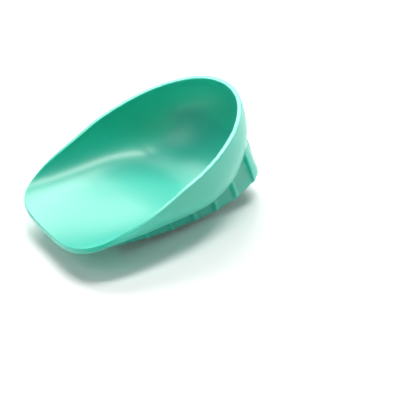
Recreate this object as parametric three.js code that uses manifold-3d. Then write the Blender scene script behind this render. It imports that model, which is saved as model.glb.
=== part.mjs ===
// Heel cup: a one-piece moulded elastomer cup for a shoe, with a waffle of
// shock-absorbing ribs under its floor and an open lip toward the toe.
//
// Millimetres, +Z up. The cup stands on its rib tips as it would on a table:
// the toe lip points to -Y, the heel to +Y, and the origin is on the table
// under the middle of the cup's box.
//
// The forms are worked out in the mould's frame, where the rim plane is z = 0,
// the widest station is y = 0 and the mould opens along z. The finished cup is
// then tipped about X until its rib tips lie flat.
import * as THREE from "three";
import { mergeVertices } from "three/addons/utils/BufferGeometryUtils.js";
import Module from "manifold-3d";

const wasm = await Module();
wasm.setup();

// Rim outline, seen along the mould's opening direction
const RIM_HALF_WIDTH = 34.6;
const TOE_REACH = 46.2;
const HEEL_REACH = 45.8;
const TOE_SQUARENESS = 4.1;
const HEEL_ROUNDNESS = 2.05;
const TOE_TAPER = 0.08;
const CORNER_RAISE = 6.8;
const HEEL_RAISE = 1.4;

// Bowl: depth of the outer floor under the rim plane, and the walls
const LIP_DEPTH = 4.4;
const TOE_RIB_FLOOR_DEPTH = 11.2;
const FLOOR_SLOPE = 0.334;
const SEAT_DROP = 2.2;
const SEAT_START = 1.5;
const SEAT_END = 4;
const TOE_FULLNESS = 6.0;
const HEEL_FULLNESS = 2.4;
const TOE_STEEPNESS = 1.5;
const HEEL_STEEPNESS = 3.2;
const WALL = 1.45;
const LIP_WALL = 2.0;

// Waffle: long ribs run toe to heel, cross ribs run side to side
const LONG_RIBS = 6;
const LONG_PITCH = 8.5;
const CROSS_RIBS = 7;
const CROSS_PITCH = 9.68;
const TOE_RIB_Y = -27.65;
const HEEL_ROW = 6.0;
const RIB_WIDTH = 1.3;
const TOE_RIB_WIDTH = 1.7;

// Rib tips: flat on the table under the middle, rounded up at heel and sides
const TOE_TIP_DEPTH = 19.1;
const TIP_SLOPE = 0.332;
const ROCKER_START = 3.5;
const ROCKER_RADIUS = 49;
const CROWN_AT_TOE = 6.0;
const CROWN_AT_HEEL = 2.2;

// Fins: the rib ends that run out past the waffle onto the shell
const SIDE_FIN_TOE = 1.4;
const SIDE_FIN_HEEL = 3.0;
const HEEL_FIN = 2.0;
const OUTER_TOE_FIN = 7.8;
const INNER_TOE_FIN = 5.4;

// Facets
const RIM_STEPS = 60;
const BOWL_RINGS = 12;
const CORNER_STEPS = 5;
const CLEAR_OF_ALL = 80;
const THIN = 0.01;
const MERGE_WITHIN = 1e-5;

const clamp01 = (t) => Math.min(1, Math.max(0, t));
const lerp = (a, b, t) => a + (b - a) * t;
const power = (base, exponent) => Math.sign(base) * Math.abs(base) ** exponent;

const longRibX = (i) => (i - (LONG_RIBS - 1) / 2) * LONG_PITCH;
const crossRibY = (j) => TOE_RIB_Y + j * CROSS_PITCH;
const crossRibWidth = (j) => (j === 0 ? TOE_RIB_WIDTH : RIB_WIDTH);
const SIDE_RIB_X = longRibX(LONG_RIBS - 1);
const INNER_RIB_X = longRibX(LONG_RIBS - 2);
const FLAT_RIB_X = Math.abs(longRibX(Math.floor((LONG_RIBS - 1) / 2)));
const LAST_CROSS_Y = crossRibY(CROSS_RIBS - 1);
const HEEL_WALL_Y = LAST_CROSS_Y + HEEL_ROW;

// Share of the way from the widest station to the toe edge, or to the heel
const toeShare = (y) => Math.max(0, -y / TOE_REACH);
const heelShare = (y) => Math.max(0, y / HEEL_REACH);

// Point of the rim at one angle around it, from the near side round by the heel
function rimPlan(angle) {
  const c = Math.cos(angle);
  const s = Math.sin(angle);
  const exponent = 2 / (s < 0 ? TOE_SQUARENESS : HEEL_ROUNDNESS);
  const y = (s < 0 ? TOE_REACH : HEEL_REACH) * power(s, exponent);
  const x = RIM_HALF_WIDTH * power(c, exponent) * (1 - TOE_TAPER * toeShare(y) ** 2);
  return { x, y };
}

// How far out a point of the plan is: 0 on the centre line, 1 under the rim
function outness(x, y) {
  const across = Math.abs(x) / (RIM_HALF_WIDTH * (1 - TOE_TAPER * toeShare(y) ** 2));
  const back = heelShare(y);
  return Math.min(1, (across ** HEEL_ROUNDNESS + back ** HEEL_ROUNDNESS) ** (1 / HEEL_ROUNDNESS));
}

// Rise of the rocker, which rolls the floor and the rib tips up at the heel
function rockerRise(y) {
  const past = Math.max(0, y - crossRibY(ROCKER_START));
  return ROCKER_RADIUS - Math.sqrt(ROCKER_RADIUS ** 2 - past ** 2);
}

// Extra depth of the floor under the heel, reached over a few cross ribs
function seatDrop(y) {
  const along = clamp01((y - crossRibY(SEAT_START)) / (crossRibY(SEAT_END) - crossRibY(SEAT_START)));
  return SEAT_DROP * along ** 2 * (3 - 2 * along);
}

// Depth of the outer floor along the centre line, before the walls rise
function floorDepth(y) {
  const ahead = Math.max(0, TOE_RIB_Y - y);
  const lipLength = TOE_REACH + TOE_RIB_Y;
  const bend = (TOE_RIB_FLOOR_DEPTH - LIP_DEPTH - FLOOR_SLOPE * lipLength) / lipLength ** 2;
  const line = TOE_RIB_FLOOR_DEPTH + FLOOR_SLOPE * (y - TOE_RIB_Y);
  return line + seatDrop(y) - bend * ahead ** 2 - rockerRise(y);
}

// Height of the shell's outer surface over the plan
function shellZ(x, y) {
  const out = outness(x, y);
  const along = clamp01((y - TOE_RIB_Y) / (crossRibY(CROSS_RIBS - 3) - TOE_RIB_Y));
  const fullness = lerp(TOE_FULLNESS, HEEL_FULLNESS, along);
  const steepness = lerp(TOE_STEEPNESS, HEEL_STEEPNESS, along);
  const bowl = (1 - out ** fullness) ** (1 / steepness);
  const corner = CORNER_RAISE * toeShare(y) ** 2 * (x / RIM_HALF_WIDTH) ** 2;
  const heel = HEEL_RAISE * heelShare(y) ** 2 * out ** 4;
  return -floorDepth(y) * bowl + corner + heel;
}

// Height of the rib tips: a plane under the middle, with a rocker and a crown
function tipZ(x, y) {
  const middle = crossRibY((CROSS_RIBS - 1) / 2);
  const toward = clamp01((middle - y) / (middle - TOE_RIB_Y));
  const crown = lerp(CROWN_AT_HEEL, CROWN_AT_TOE, toward ** 2);
  const flat = FLAT_RIB_X + RIB_WIDTH / 2;
  const beside = Math.max(0, Math.abs(x) - flat) / (SIDE_RIB_X - flat);
  return -TOE_TIP_DEPTH - TIP_SLOPE * (y - TOE_RIB_Y) + rockerRise(y) + crown * beside ** 2;
}

// Joins a closed mesh's shared corners and makes it a solid
function solidOf(geometry) {
  geometry.deleteAttribute("normal");
  geometry.deleteAttribute("uv");
  const merged = mergeVertices(geometry, MERGE_WITHIN);
  return new wasm.Manifold(new wasm.Mesh({
    numProp: 3,
    vertProperties: new Float32Array(merged.attributes.position.array),
    triVerts: new Uint32Array(merged.index.array),
  }));
}

function meshGeometry(points, faces) {
  const geometry = new THREE.BufferGeometry();
  geometry.setAttribute("position", new THREE.Float32BufferAttribute(points, 3));
  geometry.setIndex(faces);
  return geometry;
}

// The outer surface of the shell: a centre point, then rings out to the rim
function outerSurface() {
  const points = [0, 0, shellZ(0, 0)];
  const faces = [];
  for (let ring = 1; ring <= BOWL_RINGS; ring++) {
    const share = Math.sin((Math.PI / 2) * (ring / BOWL_RINGS));
    for (let step = 0; step < RIM_STEPS; step++) {
      const rim = rimPlan((2 * Math.PI * step) / RIM_STEPS);
      const x = share * rim.x;
      const y = share * rim.y;
      points.push(x, y, shellZ(x, y));
    }
  }
  const at = (ring, step) => 1 + (ring - 1) * RIM_STEPS + (step % RIM_STEPS);
  for (let step = 0; step < RIM_STEPS; step++) {
    faces.push(0, at(1, step + 1), at(1, step));
    for (let ring = 1; ring < BOWL_RINGS; ring++) {
      faces.push(at(ring, step), at(ring, step + 1), at(ring + 1, step + 1));
      faces.push(at(ring, step), at(ring + 1, step + 1), at(ring + 1, step));
    }
  }
  return { points, faces, rimAt: (step) => at(BOWL_RINGS, step) };
}

// The shell: the outer surface, the same surface one wall further in, the rim
function shellSolid() {
  const outer = outerSurface();
  const outside = meshGeometry(outer.points, outer.faces);
  outside.computeVertexNormals();
  const normals = outside.attributes.normal.array;
  const count = outer.points.length / 3;
  const points = [...outer.points];
  for (let i = 0; i < count; i++) {
    const y = outer.points[3 * i + 1];
    const wall = lerp(WALL, LIP_WALL, toeShare(y) ** 2);
    for (let axis = 0; axis < 3; axis++) {
      points.push(outer.points[3 * i + axis] - wall * normals[3 * i + axis]);
    }
  }
  const faces = [...outer.faces];
  for (let f = 0; f < outer.faces.length; f += 3) {
    const [a, b, c] = outer.faces.slice(f, f + 3);
    faces.push(a + count, c + count, b + count);
  }
  for (let step = 0; step < RIM_STEPS; step++) {
    const a = outer.rimAt(step);
    const b = outer.rimAt(step + 1);
    faces.push(a, b, b + count);
    faces.push(a, b + count, a + count);
  }
  return solidOf(meshGeometry(points, faces));
}

// How far the fins run out past the side ribs at one station
const sideFin = (y) => lerp(SIDE_FIN_TOE, SIDE_FIN_HEEL, clamp01((y - TOE_RIB_Y) / (LAST_CROSS_Y - TOE_RIB_Y)));

// How far the toe fins run out at one place across the cup
const toeFin = (x) => lerp(
  INNER_TOE_FIN,
  OUTER_TOE_FIN,
  clamp01((Math.abs(x) - INNER_RIB_X) / (SIDE_RIB_X - INNER_RIB_X)),
);

// Rounded corner of a fin: 0 at its tip, 1 where its edge meets the shell
const finEdge = (t) => 1 - Math.sqrt(1 - clamp01(t) ** 2);

const FIN_STEPS = [0.5, 0.85, 0.97, 1];

// Everything the ribs may fill: from their tips up to the middle of the wall
function ribSpace() {
  const sideFace = SIDE_RIB_X + RIB_WIDTH / 2;
  const heelFace = HEEL_WALL_Y + RIB_WIDTH / 2;
  const half = [];
  for (let x = FLAT_RIB_X + RIB_WIDTH / 2; x < sideFace - LONG_PITCH / 4; x += LONG_PITCH / 2) {
    half.push({ inner: x, fin: 0 });
  }
  half.push({ inner: sideFace, fin: 0 });
  FIN_STEPS.forEach((share) => half.push({ inner: sideFace, fin: share }));
  const columns = [
    ...half.map((c) => ({ ...c, side: -1 })).reverse(),
    ...half.map((c) => ({ ...c, side: 1 })),
  ];
  const rows = [];
  const toeFace = TOE_RIB_Y - TOE_RIB_WIDTH / 2;
  [1, 0.69, 0.35, 0].forEach((share) => rows.push({ y: toeFace - share * OUTER_TOE_FIN, fin: 0 }));
  for (let y = crossRibY(0.5); y < heelFace - CROSS_PITCH / 4; y += CROSS_PITCH / 2) {
    rows.push({ y, fin: 0 });
  }
  rows.push({ y: heelFace, fin: 0 });
  FIN_STEPS.forEach((share) => rows.push({ y: heelFace + share * HEEL_FIN, fin: share }));
  const low = [];
  const high = [];
  rows.forEach((row) => {
    columns.forEach((column) => {
      const x = column.side * (column.inner + column.fin * sideFin(row.y));
      const top = shellZ(x, row.y) + WALL / 2;
      const tip = tipZ(column.side * column.inner, Math.min(row.y, heelFace));
      const ahead = clamp01((toeFace - row.y) / toeFin(x));
      const rise = Math.max(ahead, finEdge(column.fin), finEdge(row.fin));
      low.push(x, row.y, Math.min(lerp(tip, top, rise), top - THIN));
      high.push(x, row.y, top);
    });
  });
  const wide = columns.length;
  const count = rows.length * wide;
  const faces = [];
  const quad = (a, b, c, d) => faces.push(a, b, c, a, c, d);
  for (let j = 0; j + 1 < rows.length; j++) {
    for (let i = 0; i + 1 < wide; i++) {
      const a = j * wide + i;
      quad(a, a + wide, a + wide + 1, a + 1);
      quad(count + a, count + a + 1, count + a + wide + 1, count + a + wide);
    }
    const left = j * wide;
    const right = left + wide - 1;
    quad(left, count + left, count + left + wide, left + wide);
    quad(right, right + wide, count + right + wide, count + right);
  }
  for (let i = 0; i + 1 < wide; i++) {
    const back = (rows.length - 1) * wide + i;
    quad(i, i + 1, count + i + 1, count + i);
    quad(back, count + back, count + back + 1, back + 1);
  }
  return solidOf(meshGeometry([...low, ...high], faces));
}

// An upright slab of the waffle, taller than any rib
function slab(x0, x1, y0, y1) {
  const box = new THREE.BoxGeometry(x1 - x0, y1 - y0, 2 * CLEAR_OF_ALL);
  box.translate((x0 + x1) / 2, (y0 + y1) / 2, 0);
  return solidOf(box);
}

// The rib round the heel end of the waffle: straight, with two round corners
function heelSlab() {
  const half = RIB_WIDTH / 2;
  const outline = [];
  const corner = (side, offset, from, to) => {
    for (let k = 0; k <= CORNER_STEPS; k++) {
      const angle = lerp(from, to, k / CORNER_STEPS);
      const x = side * (INNER_RIB_X + (LONG_PITCH + offset) * Math.cos(angle));
      const y = LAST_CROSS_Y + (HEEL_ROW + offset) * Math.sin(angle);
      outline.push(new THREE.Vector2(x, y));
    }
  };
  corner(1, half, 0, Math.PI / 2);
  corner(-1, half, Math.PI / 2, 0);
  corner(-1, -half, 0, Math.PI / 2);
  corner(1, -half, Math.PI / 2, 0);
  const shape = new THREE.Shape(outline);
  const band = new THREE.ExtrudeGeometry(shape, { depth: 2 * CLEAR_OF_ALL, bevelEnabled: false });
  band.translate(0, 0, -CLEAR_OF_ALL);
  return solidOf(band);
}

// All the ribs, cut to the space between their tips and the shell
function waffle() {
  const half = RIB_WIDTH / 2;
  let slabs = heelSlab();
  for (let i = 0; i < LONG_RIBS; i++) {
    const x = longRibX(i);
    const outermost = i === 0 || i === LONG_RIBS - 1;
    const hasToeFin = outermost || i === 1 || i === LONG_RIBS - 2;
    const start = TOE_RIB_Y - (hasToeFin ? toeFin(x) + TOE_RIB_WIDTH / 2 : 0);
    const end = outermost ? LAST_CROSS_Y : HEEL_WALL_Y + half + HEEL_FIN;
    slabs = slabs.add(slab(x - half, x + half, start, end));
  }
  for (let j = 0; j < CROSS_RIBS; j++) {
    const y = crossRibY(j);
    const reach = SIDE_RIB_X + half + sideFin(y);
    const width = crossRibWidth(j) / 2;
    slabs = slabs.add(slab(-reach, reach, y - width, y + width));
  }
  return slabs.intersect(ribSpace());
}

function geometryOf(solid) {
  const mesh = solid.getMesh();
  return meshGeometry(Array.from(mesh.vertProperties), Array.from(mesh.triVerts));
}

// The whole cup, tipped onto its rib tips with its box centred over the origin
function heelCup() {
  const geometry = geometryOf(shellSolid().add(waffle()));
  geometry.rotateX(Math.atan(TIP_SLOPE));
  geometry.computeBoundingBox();
  const box = geometry.boundingBox;
  geometry.translate(0, -(box.min.y + box.max.y) / 2, -box.min.z);
  const elastomer = new THREE.MeshStandardMaterial({ color: 0x52dcb4, roughness: 0.42, metalness: 0 });
  const mesh = new THREE.Mesh(geometry, elastomer);
  mesh.name = "heel_cup";
  return mesh;
}

const cup = new THREE.Group();
cup.add(heelCup());

export default cup;
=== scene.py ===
import math

import bpy
from mathutils import Matrix, Vector


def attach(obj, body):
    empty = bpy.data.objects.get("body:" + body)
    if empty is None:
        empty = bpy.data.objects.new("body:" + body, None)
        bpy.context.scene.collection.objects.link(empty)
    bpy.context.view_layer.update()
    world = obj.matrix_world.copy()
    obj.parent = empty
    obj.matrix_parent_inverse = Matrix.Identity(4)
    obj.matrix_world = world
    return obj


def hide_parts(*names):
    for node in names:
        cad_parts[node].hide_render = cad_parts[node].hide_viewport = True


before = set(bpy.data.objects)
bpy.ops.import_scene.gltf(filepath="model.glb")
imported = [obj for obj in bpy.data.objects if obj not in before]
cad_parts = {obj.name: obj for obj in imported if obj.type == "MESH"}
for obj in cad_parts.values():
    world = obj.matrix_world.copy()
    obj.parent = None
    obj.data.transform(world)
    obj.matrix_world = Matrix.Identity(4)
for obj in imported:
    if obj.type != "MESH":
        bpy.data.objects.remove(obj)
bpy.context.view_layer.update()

# The studio: a seamless white table under a long key lamp overhead. Two panels and a small lamp
# stand high behind the far wall, a pale card is on the camera's side, and each end has a lamp.
TABLE_HALF_WIDTH = 3.0
TABLE_WHITE = (0.98, 0.985, 0.98, 1.0)
TABLE_ROUGHNESS = 0.9
TABLE_GLOW = 0.04
ROOM_WHITE = (1.0, 1.0, 1.0, 1.0)
ROOM_STRENGTH = 0.12
LAMPS = {
    "key_lamp": {"at": (0.05, 0.24, 0.85), "wide": 0.18, "tall": 0.52, "watts": 4.4},
    "high_panel": {"at": (-0.47, 0.20, 0.72), "wide": 0.44, "tall": 0.44, "watts": 3.2},
    "back_panel": {"at": (-0.55, 0.30, 0.60), "wide": 0.56, "tall": 0.56, "watts": 2.3},
    "rim_lamp": {"at": (-0.60, -0.02, 0.60), "wide": 0.24, "tall": 0.24, "watts": 1.6},
    "camera_card": {"at": (0.50, -0.75, 0.28), "wide": 1.10, "tall": 0.50, "watts": 0.45},
    "heel_lamp": {"at": (0.10, 0.62, 0.16), "wide": 0.20, "tall": 0.20, "watts": 0.9},
    "toe_lamp": {"at": (-0.05, -0.55, 0.70), "wide": 0.50, "tall": 0.50, "watts": 1.2},
}
LAMPS_POINT_AT = Vector((0.0, 0.0, 0.015))


def table_top():
    top = bpy.data.meshes.new("table_top")
    reach = TABLE_HALF_WIDTH
    corners = [(-reach, -reach, 0), (reach, -reach, 0), (reach, reach, 0), (-reach, reach, 0)]
    top.from_pydata(corners, [], [(0, 1, 2, 3)])
    paint = bpy.data.materials.new("white_table")
    paint.use_nodes = True
    shader = paint.node_tree.nodes["Principled BSDF"]
    shader.inputs["Base Color"].default_value = TABLE_WHITE
    shader.inputs["Roughness"].default_value = TABLE_ROUGHNESS
    shader.inputs["Emission Color"].default_value = TABLE_WHITE
    shader.inputs["Emission Strength"].default_value = TABLE_GLOW
    shader.inputs["Specular IOR Level"].default_value = 0.0
    top.materials.append(paint)
    table = bpy.data.objects.new("table_top", top)
    bpy.context.scene.collection.objects.link(table)


def hang_lamps():
    for name, lamp in LAMPS.items():
        light = bpy.data.lights.new(name, "AREA")
        light.shape = "RECTANGLE"
        light.size = lamp["wide"]
        light.size_y = lamp["tall"]
        light.energy = lamp["watts"]
        stand = bpy.data.objects.new(name, light)
        stand.location = lamp["at"]
        aim = LAMPS_POINT_AT - stand.location
        stand.rotation_euler = aim.to_track_quat("-Z", "Y").to_euler()
        bpy.context.scene.collection.objects.link(stand)


def light_the_room():
    room = bpy.data.worlds.new("studio_room")
    room.use_nodes = True
    air = room.node_tree.nodes["Background"]
    air.inputs["Color"].default_value = ROOM_WHITE
    air.inputs["Strength"].default_value = ROOM_STRENGTH
    bpy.context.scene.world = room


table_top()
hang_lamps()
light_the_room()
bpy.context.scene.view_settings.view_transform = "Standard"
bpy.context.scene.view_settings.look = "Medium Contrast"


# The camera stands beside the cup's right wall, a little towards the toe, and looks down into the
# hollow. It leans, as the photograph does.
CAMERA_AT = Vector((0.26693, -0.14034, 0.1942))
CAMERA_LOOKS_AT = Vector((0.03051, 0.00913, 0.012))
CAMERA_LEAN = math.radians(-4.934)
LENS_MM = 77.9
SENSOR_MM = 36.0
NEAREST_SEEN = 0.01


def set_up_camera():
    lens = bpy.data.cameras.new("camera")
    lens.lens = LENS_MM
    lens.sensor_width = SENSOR_MM
    lens.clip_start = NEAREST_SEEN
    camera = bpy.data.objects.new("camera", lens)
    look = (CAMERA_LOOKS_AT - CAMERA_AT).to_track_quat("-Z", "Y").to_matrix().to_4x4()
    lean = Matrix.Rotation(CAMERA_LEAN, 4, "Z")
    camera.matrix_world = Matrix.Translation(CAMERA_AT) @ look @ lean
    bpy.context.scene.collection.objects.link(camera)
    bpy.context.scene.camera = camera


set_up_camera()


# The cup's shell: one soft moulded elastomer bowl with a flat open toe and steep sides and heel.
# Its form follows one rule, given in millimetres with the rim level and the toe towards -Y, and
# the whole cup is then tipped onto its rib tips.
SHELL_SIZES = {
    "rim half width": 34.6,
    "toe reach": 45.8,
    "heel reach": 45.77,
    "toe squareness": 4.1,
    "heel roundness": 2.05,
    "toe taper": 0.08,
    "corner raise": 6.8,
    "heel raise": 1.4,
    "lip depth": 4.4,
    "toe rib floor depth": 11.2,
    "floor slope": 0.334,
    "seat drop": 2.2,
    "seat start": 1.5,
    "seat end": 4.0,
    "toe fullness": 6.0,
    "heel fullness": 2.4,
    "toe steepness": 1.5,
    "heel steepness": 3.2,
    "toe rib y": -27.65,
    "cross pitch": 9.68,
    "rocker start": 3.5,
    "rocker radius": 49.0,
    "wall": 1.45,
    "lip wall": 2.0,
    "rim rounding": 0.28,
    "rim bead": 0.45,
    "bead depth": 4.0,
}
SECTION_ROWS = 4.0
ROUND_STEPS = 240
RING_STEPS = 72
RING_CROWDING = 2.6
RIM_STEPS = 12
ROUNDING_REACH = 8.0
RIM_FLATNESS = 0.62
INDEX_SLACK = 0.001
MILLIMETRE = 0.001
TIP_ANGLE = math.atan(0.332)
CUP_SHIFT = (0.0, -0.00118197, 0.02683929)
WELD = 0.02
SKIN = {
    "Roughness": 0.52,
    "Specular IOR Level": 0.8,
    "Coat Weight": 0.8,
    "Coat Roughness": 0.30,
    "Subsurface Weight": 0.6,
    "Subsurface Radius": (0.3, 1.0, 0.85),
    "Subsurface Scale": 0.003,
}
MINT_DEEP = (0.005, 0.515, 0.385, 1.0)
MINT_PALE = (0.008, 0.560, 0.415, 1.0)
CLOUDS_PER_METRE = 38.0
GRAINS_PER_METRE = 2600.0
GRAIN_STRENGTH = 0.10
GRAIN_DEPTH = 0.0001


class Reading:
    """A value in a node tree. Arithmetic on it adds the nodes that work it out."""

    def __init__(self, tree, socket):
        self.tree = tree
        self.socket = socket

    def __add__(self, other):
        return work("ADD", self, other)

    def __radd__(self, other):
        return work("ADD", other, self)

    def __sub__(self, other):
        return work("SUBTRACT", self, other)

    def __rsub__(self, other):
        return work("SUBTRACT", other, self)

    def __mul__(self, other):
        return work("MULTIPLY", self, other)

    def __rmul__(self, other):
        return work("MULTIPLY", other, self)

    def __truediv__(self, other):
        return work("DIVIDE", self, other)

    def __rtruediv__(self, other):
        return work("DIVIDE", other, self)

    def __pow__(self, other):
        return work("POWER", self, other)

    def __neg__(self):
        return work("MULTIPLY", self, -1.0)


def work(sort, *values):
    tree = next(v.tree for v in values if isinstance(v, Reading))
    node = tree.nodes.new("ShaderNodeMath")
    node.operation = sort
    for place, value in enumerate(values):
        if isinstance(value, Reading):
            tree.links.new(value.socket, node.inputs[place])
        else:
            node.inputs[place].default_value = value
    return Reading(tree, node.outputs[0])


def size_of(value):
    return work("ABSOLUTE", value)


def larger(a, b):
    return work("MAXIMUM", a, b)


def smaller(a, b):
    return work("MINIMUM", a, b)


def root(value):
    return work("SQRT", value)


def share(value):
    return smaller(larger(value, 0.0), 1.0)


def between(start, end, along):
    return start + (end - start) * along


def nearest_step(value, low, high):
    return smaller(larger(work("ROUND", value), low), high)


def over(a, b):
    """1 where a is over b, and 0 elsewhere."""
    return work("GREATER_THAN", a, b)


def toe_share(size, y):
    return larger(-y / size["toe reach"], 0.0)


def heel_share(size, y):
    return larger(y / size["heel reach"], 0.0)


def width_share(size, x, y):
    taper = 1.0 - size["toe taper"] * toe_share(size, y) ** 2.0
    return size_of(x) / (size["rim half width"] * taper)


def rocker_rise(size, y):
    start = size["toe rib y"] + size["rocker start"] * size["cross pitch"]
    past = larger(y - start, 0.0)
    return size["rocker radius"] - root(size["rocker radius"] ** 2.0 - past ** 2.0)


def seat_drop(size, y):
    rows = (y - size["toe rib y"]) / size["cross pitch"]
    along = share((rows - size["seat start"]) / (size["seat end"] - size["seat start"]))
    return size["seat drop"] * along ** 2.0 * (3.0 - 2.0 * along)


def floor_depth(size, y):
    ahead = larger(size["toe rib y"] - y, 0.0)
    lip_length = size["toe reach"] + size["toe rib y"]
    drop = size["toe rib floor depth"] - size["lip depth"] - size["floor slope"] * lip_length
    bend = drop / lip_length ** 2.0
    line = size["toe rib floor depth"] + size["floor slope"] * (y - size["toe rib y"])
    return line + seat_drop(size, y) - bend * ahead ** 2.0 - rocker_rise(size, y)


def shell_height(size, x, y):
    """Height of the shell's outer face over the level of the rim, which is 0."""
    roundness = size["heel roundness"]
    around = width_share(size, x, y) ** roundness + heel_share(size, y) ** roundness
    out = smaller(around ** (1.0 / roundness), 1.0)
    along = share((y - size["toe rib y"]) / (SECTION_ROWS * size["cross pitch"]))
    fullness = between(size["toe fullness"], size["heel fullness"], along)
    steepness = between(size["toe steepness"], size["heel steepness"], along)
    bowl = (1.0 - out ** fullness) ** (1.0 / steepness)
    corners = size["corner raise"] * (toe_share(size, y) * x / size["rim half width"]) ** 2.0
    heel = size["heel raise"] * heel_share(size, y) ** 2.0 * out ** 4.0
    return corners + heel - floor_depth(size, y) * bowl


def new_tree(name, sizes):
    """A node tree with one named input for each size, and the sizes as readings."""
    tree = bpy.data.node_groups.new(name, "GeometryNodeTree")
    tree.interface.new_socket(name="Geometry", in_out="OUTPUT", socket_type="NodeSocketGeometry")
    for label in sizes:
        tree.interface.new_socket(name=label, in_out="INPUT", socket_type="NodeSocketFloat")
    inputs = tree.nodes.new("NodeGroupInput")
    return tree, {label: Reading(tree, inputs.outputs[label]) for label in sizes}


def add(tree, kind, links=None, **settings):
    """A node with its sockets linked or set by name or place, and its own settings."""
    node = tree.nodes.new(kind)
    for name, value in settings.items():
        setattr(node, name, value)
    for name, value in (links or {}).items():
        if isinstance(value, Reading):
            tree.links.new(value.socket, node.inputs[name])
        elif isinstance(value, bpy.types.NodeSocket):
            tree.links.new(value, node.inputs[name])
        else:
            node.inputs[name].default_value = value
    return node


def point(tree, x, y, z):
    return add(tree, "ShaderNodeCombineXYZ", {"X": x, "Y": y, "Z": z}).outputs[0]


def parts_of(tree, vector):
    node = add(tree, "ShaderNodeSeparateXYZ", {0: vector})
    return [Reading(tree, node.outputs[place]) for place in range(3)]


def vector_work(tree, sort, a, b):
    return add(tree, "ShaderNodeVectorMath", {0: a, 1: b}, operation=sort).outputs[0]


def stretch(tree, vector, by):
    node = add(tree, "ShaderNodeVectorMath", {0: vector, "Scale": by}, operation="SCALE")
    return node.outputs[0]


def tip_onto_ribs(tree, mesh):
    """Millimetres with the rim level become metres with the cup at rest on its rib tips."""
    settings = {
        "Geometry": mesh,
        "Translation": CUP_SHIFT,
        "Rotation": (TIP_ANGLE, 0.0, 0.0),
        "Scale": (MILLIMETRE, MILLIMETRE, MILLIMETRE),
    }
    return add(tree, "GeometryNodeTransform", settings).outputs[0]


def finish_tree(tree, mesh, material):
    shaded = add(tree, "GeometryNodeSetShadeSmooth", {"Geometry": mesh}).outputs[0]
    laid = tip_onto_ribs(tree, shaded)
    real = add(tree, "GeometryNodeRealizeInstances", {"Geometry": laid}).outputs[0]
    made = add(tree, "GeometryNodeSetMaterial", {"Geometry": real, "Material": material})
    add(tree, "NodeGroupOutput", {0: made.outputs[0]})


def cast(name, tree, sizes):
    """Runs the tree with its sizes and keeps the result as a plain mesh object."""
    blank = bpy.data.objects.new(name + "_blank", bpy.data.meshes.new(name + "_blank"))
    bpy.context.scene.collection.objects.link(blank)
    maker = blank.modifiers.new(name, "NODES")
    maker.node_group = tree
    for item in tree.interface.items_tree:
        if item.in_out == "INPUT":
            maker[item.identifier] = float(sizes[item.name])
    ready = blank.evaluated_get(bpy.context.evaluated_depsgraph_get())
    mesh = bpy.data.meshes.new_from_object(ready)
    mesh.name = name
    bpy.data.objects.remove(blank)
    piece = bpy.data.objects.new(name, mesh)
    bpy.context.scene.collection.objects.link(piece)
    return piece


def grid_steps(tree, count_round, count_across):
    """A grid mesh, and how far round and across each of its points is, from 0 to 1."""
    settings = {
        "Size X": 1.0,
        "Size Y": 1.0,
        "Vertices X": count_round,
        "Vertices Y": count_across,
    }
    grid = add(tree, "GeometryNodeMeshGrid", settings)
    place = parts_of(tree, add(tree, "GeometryNodeInputPosition").outputs[0])
    return grid.outputs[0], place[0] + 0.5, place[1] + 0.5


def outer_face(tree, size):
    """The shell's outer face as rings of points, from the middle of the floor to the rim."""
    grid, turn, across = grid_steps(tree, ROUND_STEPS + 1, RING_STEPS + 1)
    angle = (turn - 0.25) * (2.0 * math.pi)
    side = work("COSINE", angle)
    along = work("SINE", angle)
    in_toe = over(0.0, along)
    exponent = between(size["heel roundness"], size["toe squareness"], in_toe)
    reach = between(size["heel reach"], size["toe reach"], in_toe)
    ring = 1.0 - (1.0 - across) ** RING_CROWDING
    spread = (size_of(side) ** exponent + size_of(along) ** exponent) ** (-1.0 / exponent) * ring
    y = along * spread * reach
    taper = 1.0 - size["toe taper"] * toe_share(size, y) ** 2.0
    x = side * spread * size["rim half width"] * taper
    dip = size["rim rounding"] * ring ** ROUNDING_REACH
    place = point(tree, x, y, shell_height(size, x, y) - dip)
    placed = add(tree, "GeometryNodeSetPosition", {"Geometry": grid, "Position": place})
    return placed.outputs[0]


def rim_ring(tree, face, back):
    """Position and normal of the face's ring `back` rings in from the rim, for a grid over it."""
    index = Reading(tree, add(tree, "GeometryNodeInputIndex").outputs[0])
    turn = work("FLOOR", index / float(RIM_STEPS + 1) + INDEX_SLACK)
    wanted = turn * float(RING_STEPS + 1) + float(RING_STEPS - back)
    found = []
    for source in ("GeometryNodeInputPosition", "GeometryNodeInputNormal"):
        field = add(tree, source).outputs[0]
        links = {"Geometry": face, "Value": field, "Index": wanted}
        kind = {"data_type": "FLOAT_VECTOR", "domain": "POINT"}
        found.append(add(tree, "GeometryNodeSampleIndex", links, **kind).outputs[0])
    return found


def wall_at(tree, size, position):
    """The wall's thickness: a little more at the toe's lip and in a bead along the rim."""
    _, y, z = parts_of(tree, position)
    bead = size["rim bead"] * share(1.0 + z / size["bead depth"]) ** 2.0
    return between(size["wall"], size["lip wall"], toe_share(size, y) ** 2.0) + bead


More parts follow.
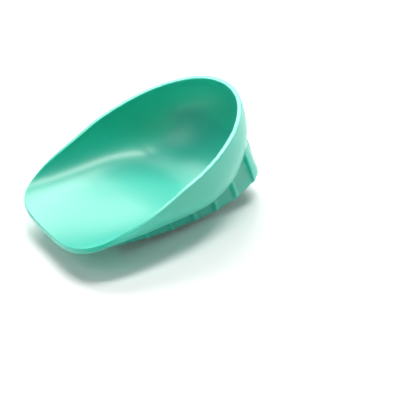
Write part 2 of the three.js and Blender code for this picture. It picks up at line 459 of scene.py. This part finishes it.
def rounded_rim(tree, size, face):
    """The rim's strip from the outer face over the rounded top to the inner face."""
    grid, _, across = grid_steps(tree, ROUND_STEPS + 1, RIM_STEPS + 1)
    position, normal = rim_ring(tree, face, 0)
    below, _ = rim_ring(tree, face, 2)
    upward = vector_work(tree, "SUBTRACT", position, below)
    upward = add(tree, "ShaderNodeVectorMath", {0: upward}, operation="NORMALIZE").outputs[0]
    wall = wall_at(tree, size, position)
    angle = across * math.pi
    corner = size["rim rounding"] / wall
    side = work("COSINE", angle)
    sign = work("SIGN", side)
    bulge = size_of(side) ** RIM_FLATNESS
    depth = (1.0 - sign * bulge) * 0.5
    from_edge = smaller(smaller(depth, 1.0 - depth) / corner, 1.0)
    rise = root(1.0 - (1.0 - from_edge) ** 2.0) * size["rim rounding"]
    place = vector_work(tree, "ADD", position, stretch(tree, upward, rise))
    place = vector_work(tree, "ADD", place, stretch(tree, normal, -(depth * wall)))
    placed = add(tree, "GeometryNodeSetPosition", {"Geometry": grid, "Position": place})
    return placed.outputs[0]


def shell_tree(material):
    tree, size = new_tree("shell_of_the_cup", SHELL_SIZES)
    face = outer_face(tree, size)
    position = add(tree, "GeometryNodeInputPosition").outputs[0]
    normal = add(tree, "GeometryNodeInputNormal").outputs[0]
    inward = stretch(tree, normal, -wall_at(tree, size, position))
    inner = add(tree, "GeometryNodeSetPosition", {"Geometry": face, "Offset": inward}).outputs[0]
    inner = add(tree, "GeometryNodeFlipFaces", {"Mesh": inner}).outputs[0]
    whole = add(tree, "GeometryNodeJoinGeometry")
    for part in (face, rounded_rim(tree, size, face), inner):
        tree.links.new(part, whole.inputs[0])
    settings = {"Geometry": whole.outputs[0], "Distance": WELD}
    welded = add(tree, "GeometryNodeMergeByDistance", settings).outputs[0]
    finish_tree(tree, welded, material)
    return tree


def elastomer(name):
    """Soft mint elastomer with a satin skin, a faint mould texture and a little inner glow."""
    paint = bpy.data.materials.new(name)
    paint.use_nodes = True
    tree = paint.node_tree
    shader = tree.nodes["Principled BSDF"]
    for socket, value in SKIN.items():
        shader.inputs[socket].default_value = value
    place = add(tree, "ShaderNodeTexCoord").outputs["Object"]
    clouds = {"Vector": place, "Scale": CLOUDS_PER_METRE, "Detail": 3.0}
    cloud = add(tree, "ShaderNodeTexNoise", clouds).outputs["Fac"]
    tones = add(tree, "ShaderNodeMix", {"Factor": cloud}, data_type="RGBA")
    tones.inputs["A"].default_value = MINT_DEEP
    tones.inputs["B"].default_value = MINT_PALE
    tree.links.new(tones.outputs["Result"], shader.inputs["Base Color"])
    grains = {"Vector": place, "Scale": GRAINS_PER_METRE, "Detail": 2.0}
    grain = add(tree, "ShaderNodeTexNoise", grains).outputs["Fac"]
    relief = {"Height": grain, "Strength": GRAIN_STRENGTH, "Distance": GRAIN_DEPTH}
    bump = add(tree, "ShaderNodeBump", relief)
    tree.links.new(bump.outputs["Normal"], shader.inputs["Normal"])
    return paint


mint = elastomer("mint_elastomer")
shell = cast("cup_shell", shell_tree(mint), SHELL_SIZES)
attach(shell, "root")
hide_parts("heel_cup")


# The waffle under the shell: six long ribs and seven cross ribs moulded in one with it, open
# underneath, with fillets in the cells, rounded tips, and ejector pin marks at the crossings.
RIB_SIZES = {
    **SHELL_SIZES,
    "toe reach": 46.2,
    "long pitch": 8.5,
    "rib width": 1.3,
    "toe rib width": 1.7,
    "heel row": 6.0,
    "toe tip depth": 19.1,
    "tip slope": 0.332,
    "crown at toe": 6.0,
    "crown at heel": 2.2,
    "side fin at toe": 1.4,
    "side fin at heel": 3.0,
    "heel fin": 1.80,
    "outer toe fin": 7.8,
    "inner toe fin": 5.4,
    "cell fillet": 1.2,
    "root fillet": 0.7,
    "tip rounding": 0.3,
    "pin radius": 1.15,
    "pin dimple": 0.55,
    "root sink": 0.10,
    "root depth": 0.75,
}
OUTER_COLUMN = 2.5
NEXT_COLUMN = 1.5
LAST_ROW = 6.0
CROWN_ROWS = 3.0
FIRST_PINNED_ROW = 2.5
PIN_FILLET_SHARE = 0.4
LEAST_DEPTH = 0.5
SLOPE_STEP = 0.1
VOXEL = 0.33
ADAPTIVITY = 0.12
WAFFLE_HALF_WIDTH = 26.5
WAFFLE_TOE_END = -40.0
WAFFLE_HEEL_END = 40.5
WAFFLE_LOW = (-27.5, -41.0, -36.5)
WAFFLE_HIGH = (27.5, 41.5, -1.5)
FAR = 9.0
TINY = 0.0001
BLEND_KIND = 4.0


def melt(a, b, reach):
    """The lesser of two distances, with a fillet where they meet."""
    near = larger(reach - size_of(a - b), 0.0) / reach
    return smaller(a, b) - near * near * reach / BLEND_KIND


def cut_round(a, b, reach):
    """The greater of two distances, with a rounded edge where they meet."""
    near = larger(reach - size_of(a - b), 0.0) / reach
    return larger(a, b) + near * near * reach / BLEND_KIND


def slope_across(rule, x, y):
    """One over the length of the rule's surface normal, from the heights a step either side."""
    step = SLOPE_STEP
    lean_x = (rule(x + step, y) - rule(x - step, y)) / (2.0 * step)
    lean_y = (rule(x, y + step) - rule(x, y - step)) / (2.0 * step)
    return 1.0 / root(1.0 + lean_x ** 2.0 + lean_y ** 2.0)


def tip_height(size, x, y):
    """Height of the rib tips: level across the middle, crowned at the sides, up at the heel."""
    toe = size["toe rib y"]
    half = CROWN_ROWS * size["cross pitch"]
    toward = share((toe + half - y) / half)
    crown = between(size["crown at heel"], size["crown at toe"], toward ** 2.0)
    flat = 0.5 * (size["long pitch"] + size["rib width"])
    side = OUTER_COLUMN * size["long pitch"]
    beside = larger(size_of(x) - flat, 0.0) / (side - flat)
    slope = size["tip slope"] * (y - toe)
    return rocker_rise(size, y) - size["toe tip depth"] - slope + crown * beside ** 2.0


def oval_band(a, b, wide, deep):
    """Distance from an oval line, where a and b are shares of its two half axes."""
    length = root(a * a + b * b + TINY)
    lean = root((a / wide) ** 2.0 + (b / deep) ** 2.0 + TINY * TINY) / length
    return (length - 1.0) / lean


def waffle_tree(material):
    tree, size = new_tree("waffle_under_the_cup", RIB_SIZES)
    x, y, z = parts_of(tree, add(tree, "GeometryNodeInputPosition").outputs[0])
    across = size_of(x)
    pitch = size["long pitch"]
    row = size["cross pitch"]
    half_rib = size["rib width"] * 0.5
    toe = size["toe rib y"]
    last = toe + row * LAST_ROW
    heel_wall = last + size["heel row"]
    side_face = pitch * OUTER_COLUMN + half_rib
    heel_face = heel_wall + half_rib
    half_toe_rib = size["toe rib width"] * 0.5

    past_inner = larger(across - pitch * NEXT_COLUMN, 0.0) / pitch
    past_last = larger(y - last, 0.0) / size["heel row"]
    outer_rib = size_of(oval_band(past_inner, past_last, pitch, size["heel row"])) - half_rib

    long_step = nearest_step(x / pitch + OUTER_COLUMN, 1.0, 4.0)
    rib_x = (long_step - OUTER_COLUMN) * pitch
    inner_rib = size_of(x - rib_x) - half_rib
    is_flat_rib = over(pitch, size_of(rib_x))
    toe_stop = (toe - half_toe_rib - y) * is_flat_rib - FAR * (1.0 - is_flat_rib)
    inner_rib = larger(inner_rib, toe_stop)

    cross_step = nearest_step((y - toe) / row, 0.0, LAST_ROW)
    rib_y = toe + cross_step * row
    half_cross = between(half_rib, half_toe_rib, over(0.5, cross_step))
    cross_rib = size_of(y - rib_y) - half_cross

    plan = melt(melt(outer_rib, inner_rib, size["cell fillet"]), cross_rib, size["cell fillet"])

    pin = root((x - rib_x) ** 2.0 + (y - rib_y) ** 2.0 + TINY)
    edge_column = over(size_of(rib_x), pitch)
    not_second = over(size_of(cross_step - 1.0), 0.5)
    toe_rows = over(FIRST_PINNED_ROW, cross_step) * not_second * edge_column
    has_pin = larger(toe_rows, over(cross_step, FIRST_PINNED_ROW))
    boss = pin - size["pin radius"] + (1.0 - has_pin) * FAR
    plan = melt(plan, boss, size["cell fillet"] * PIN_FILLET_SHARE)

    def top(at_x, at_y):
        return shell_height(size, at_x, at_y)

    shell_z = top(x, y)
    upright = slope_across(top, x, y)
    outside = (shell_z - z) * upright

    along = share((y - toe) / (last - toe))
    side_fin = between(size["side fin at toe"], size["side fin at heel"], along)
    fin_share = larger(across - side_face, 0.0) / side_fin
    heel_fin_share = larger(y - heel_face, 0.0) / size["heel fin"]
    outer_share = share((across - pitch * NEXT_COLUMN) / pitch)
    toe_fin = between(size["inner toe fin"], size["outer toe fin"], outer_share)
    ahead = larger(toe - half_toe_rib - y, 0.0) / toe_fin
    tip_x = smaller(across, side_face)
    tip_y = smaller(y, heel_face)
    tip_z = tip_height(size, tip_x, tip_y)
    deep = larger(shell_z - tip_z, LEAST_DEPTH)
    down = larger(shell_z - z, 0.0) / deep
    fins = root(fin_share ** 2.0 + heel_fin_share ** 2.0 + TINY * TINY)
    reach = root(fins ** 2.0 + down ** 2.0 + TINY)
    steep_fins = (fin_share / side_fin) ** 2.0 + (heel_fin_share / size["heel fin"]) ** 2.0
    lean = root(steep_fins + (down / deep) ** 2.0 + TINY * TINY) / reach
    below_tips = (reach + ahead - 1.0) / root(lean ** 2.0 + over(ahead, 0.0) / toe_fin ** 2.0)

    ribs = cut_round(plan, below_tips, size["tip rounding"])
    from_tip = root(pin ** 2.0 + (z - tip_z) ** 2.0 + TINY)
    dimple = size["pin dimple"] - from_tip - (1.0 - has_pin) * FAR
    ribs = larger(ribs, dimple)
    ribs = melt(ribs, outside + size["root sink"], size["root fillet"])
    ribs = larger(ribs, -outside - size["root depth"])
    ends = larger(y - WAFFLE_HEEL_END, WAFFLE_TOE_END - y)
    ribs = larger(ribs, larger(across - WAFFLE_HALF_WIDTH, ends))

    steps = [round((high - low) / VOXEL) for low, high in zip(WAFFLE_LOW, WAFFLE_HIGH)]
    settings = {
        "Density": -ribs,
        "Background": -FAR,
        "Min": WAFFLE_LOW,
        "Max": WAFFLE_HIGH,
        "Resolution X": steps[0],
        "Resolution Y": steps[1],
        "Resolution Z": steps[2],
    }
    block = add(tree, "GeometryNodeVolumeCube", settings).outputs[0]
    settings = {"Volume": block, "Threshold": 0.0, "Adaptivity": ADAPTIVITY}
    mesh = add(tree, "GeometryNodeVolumeToMesh", settings, resolution_mode="GRID").outputs[0]
    finish_tree(tree, mesh, material)
    return tree


waffle = cast("rib_waffle", waffle_tree(mint), RIB_SIZES)
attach(waffle, "root")
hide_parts("heel_cup")
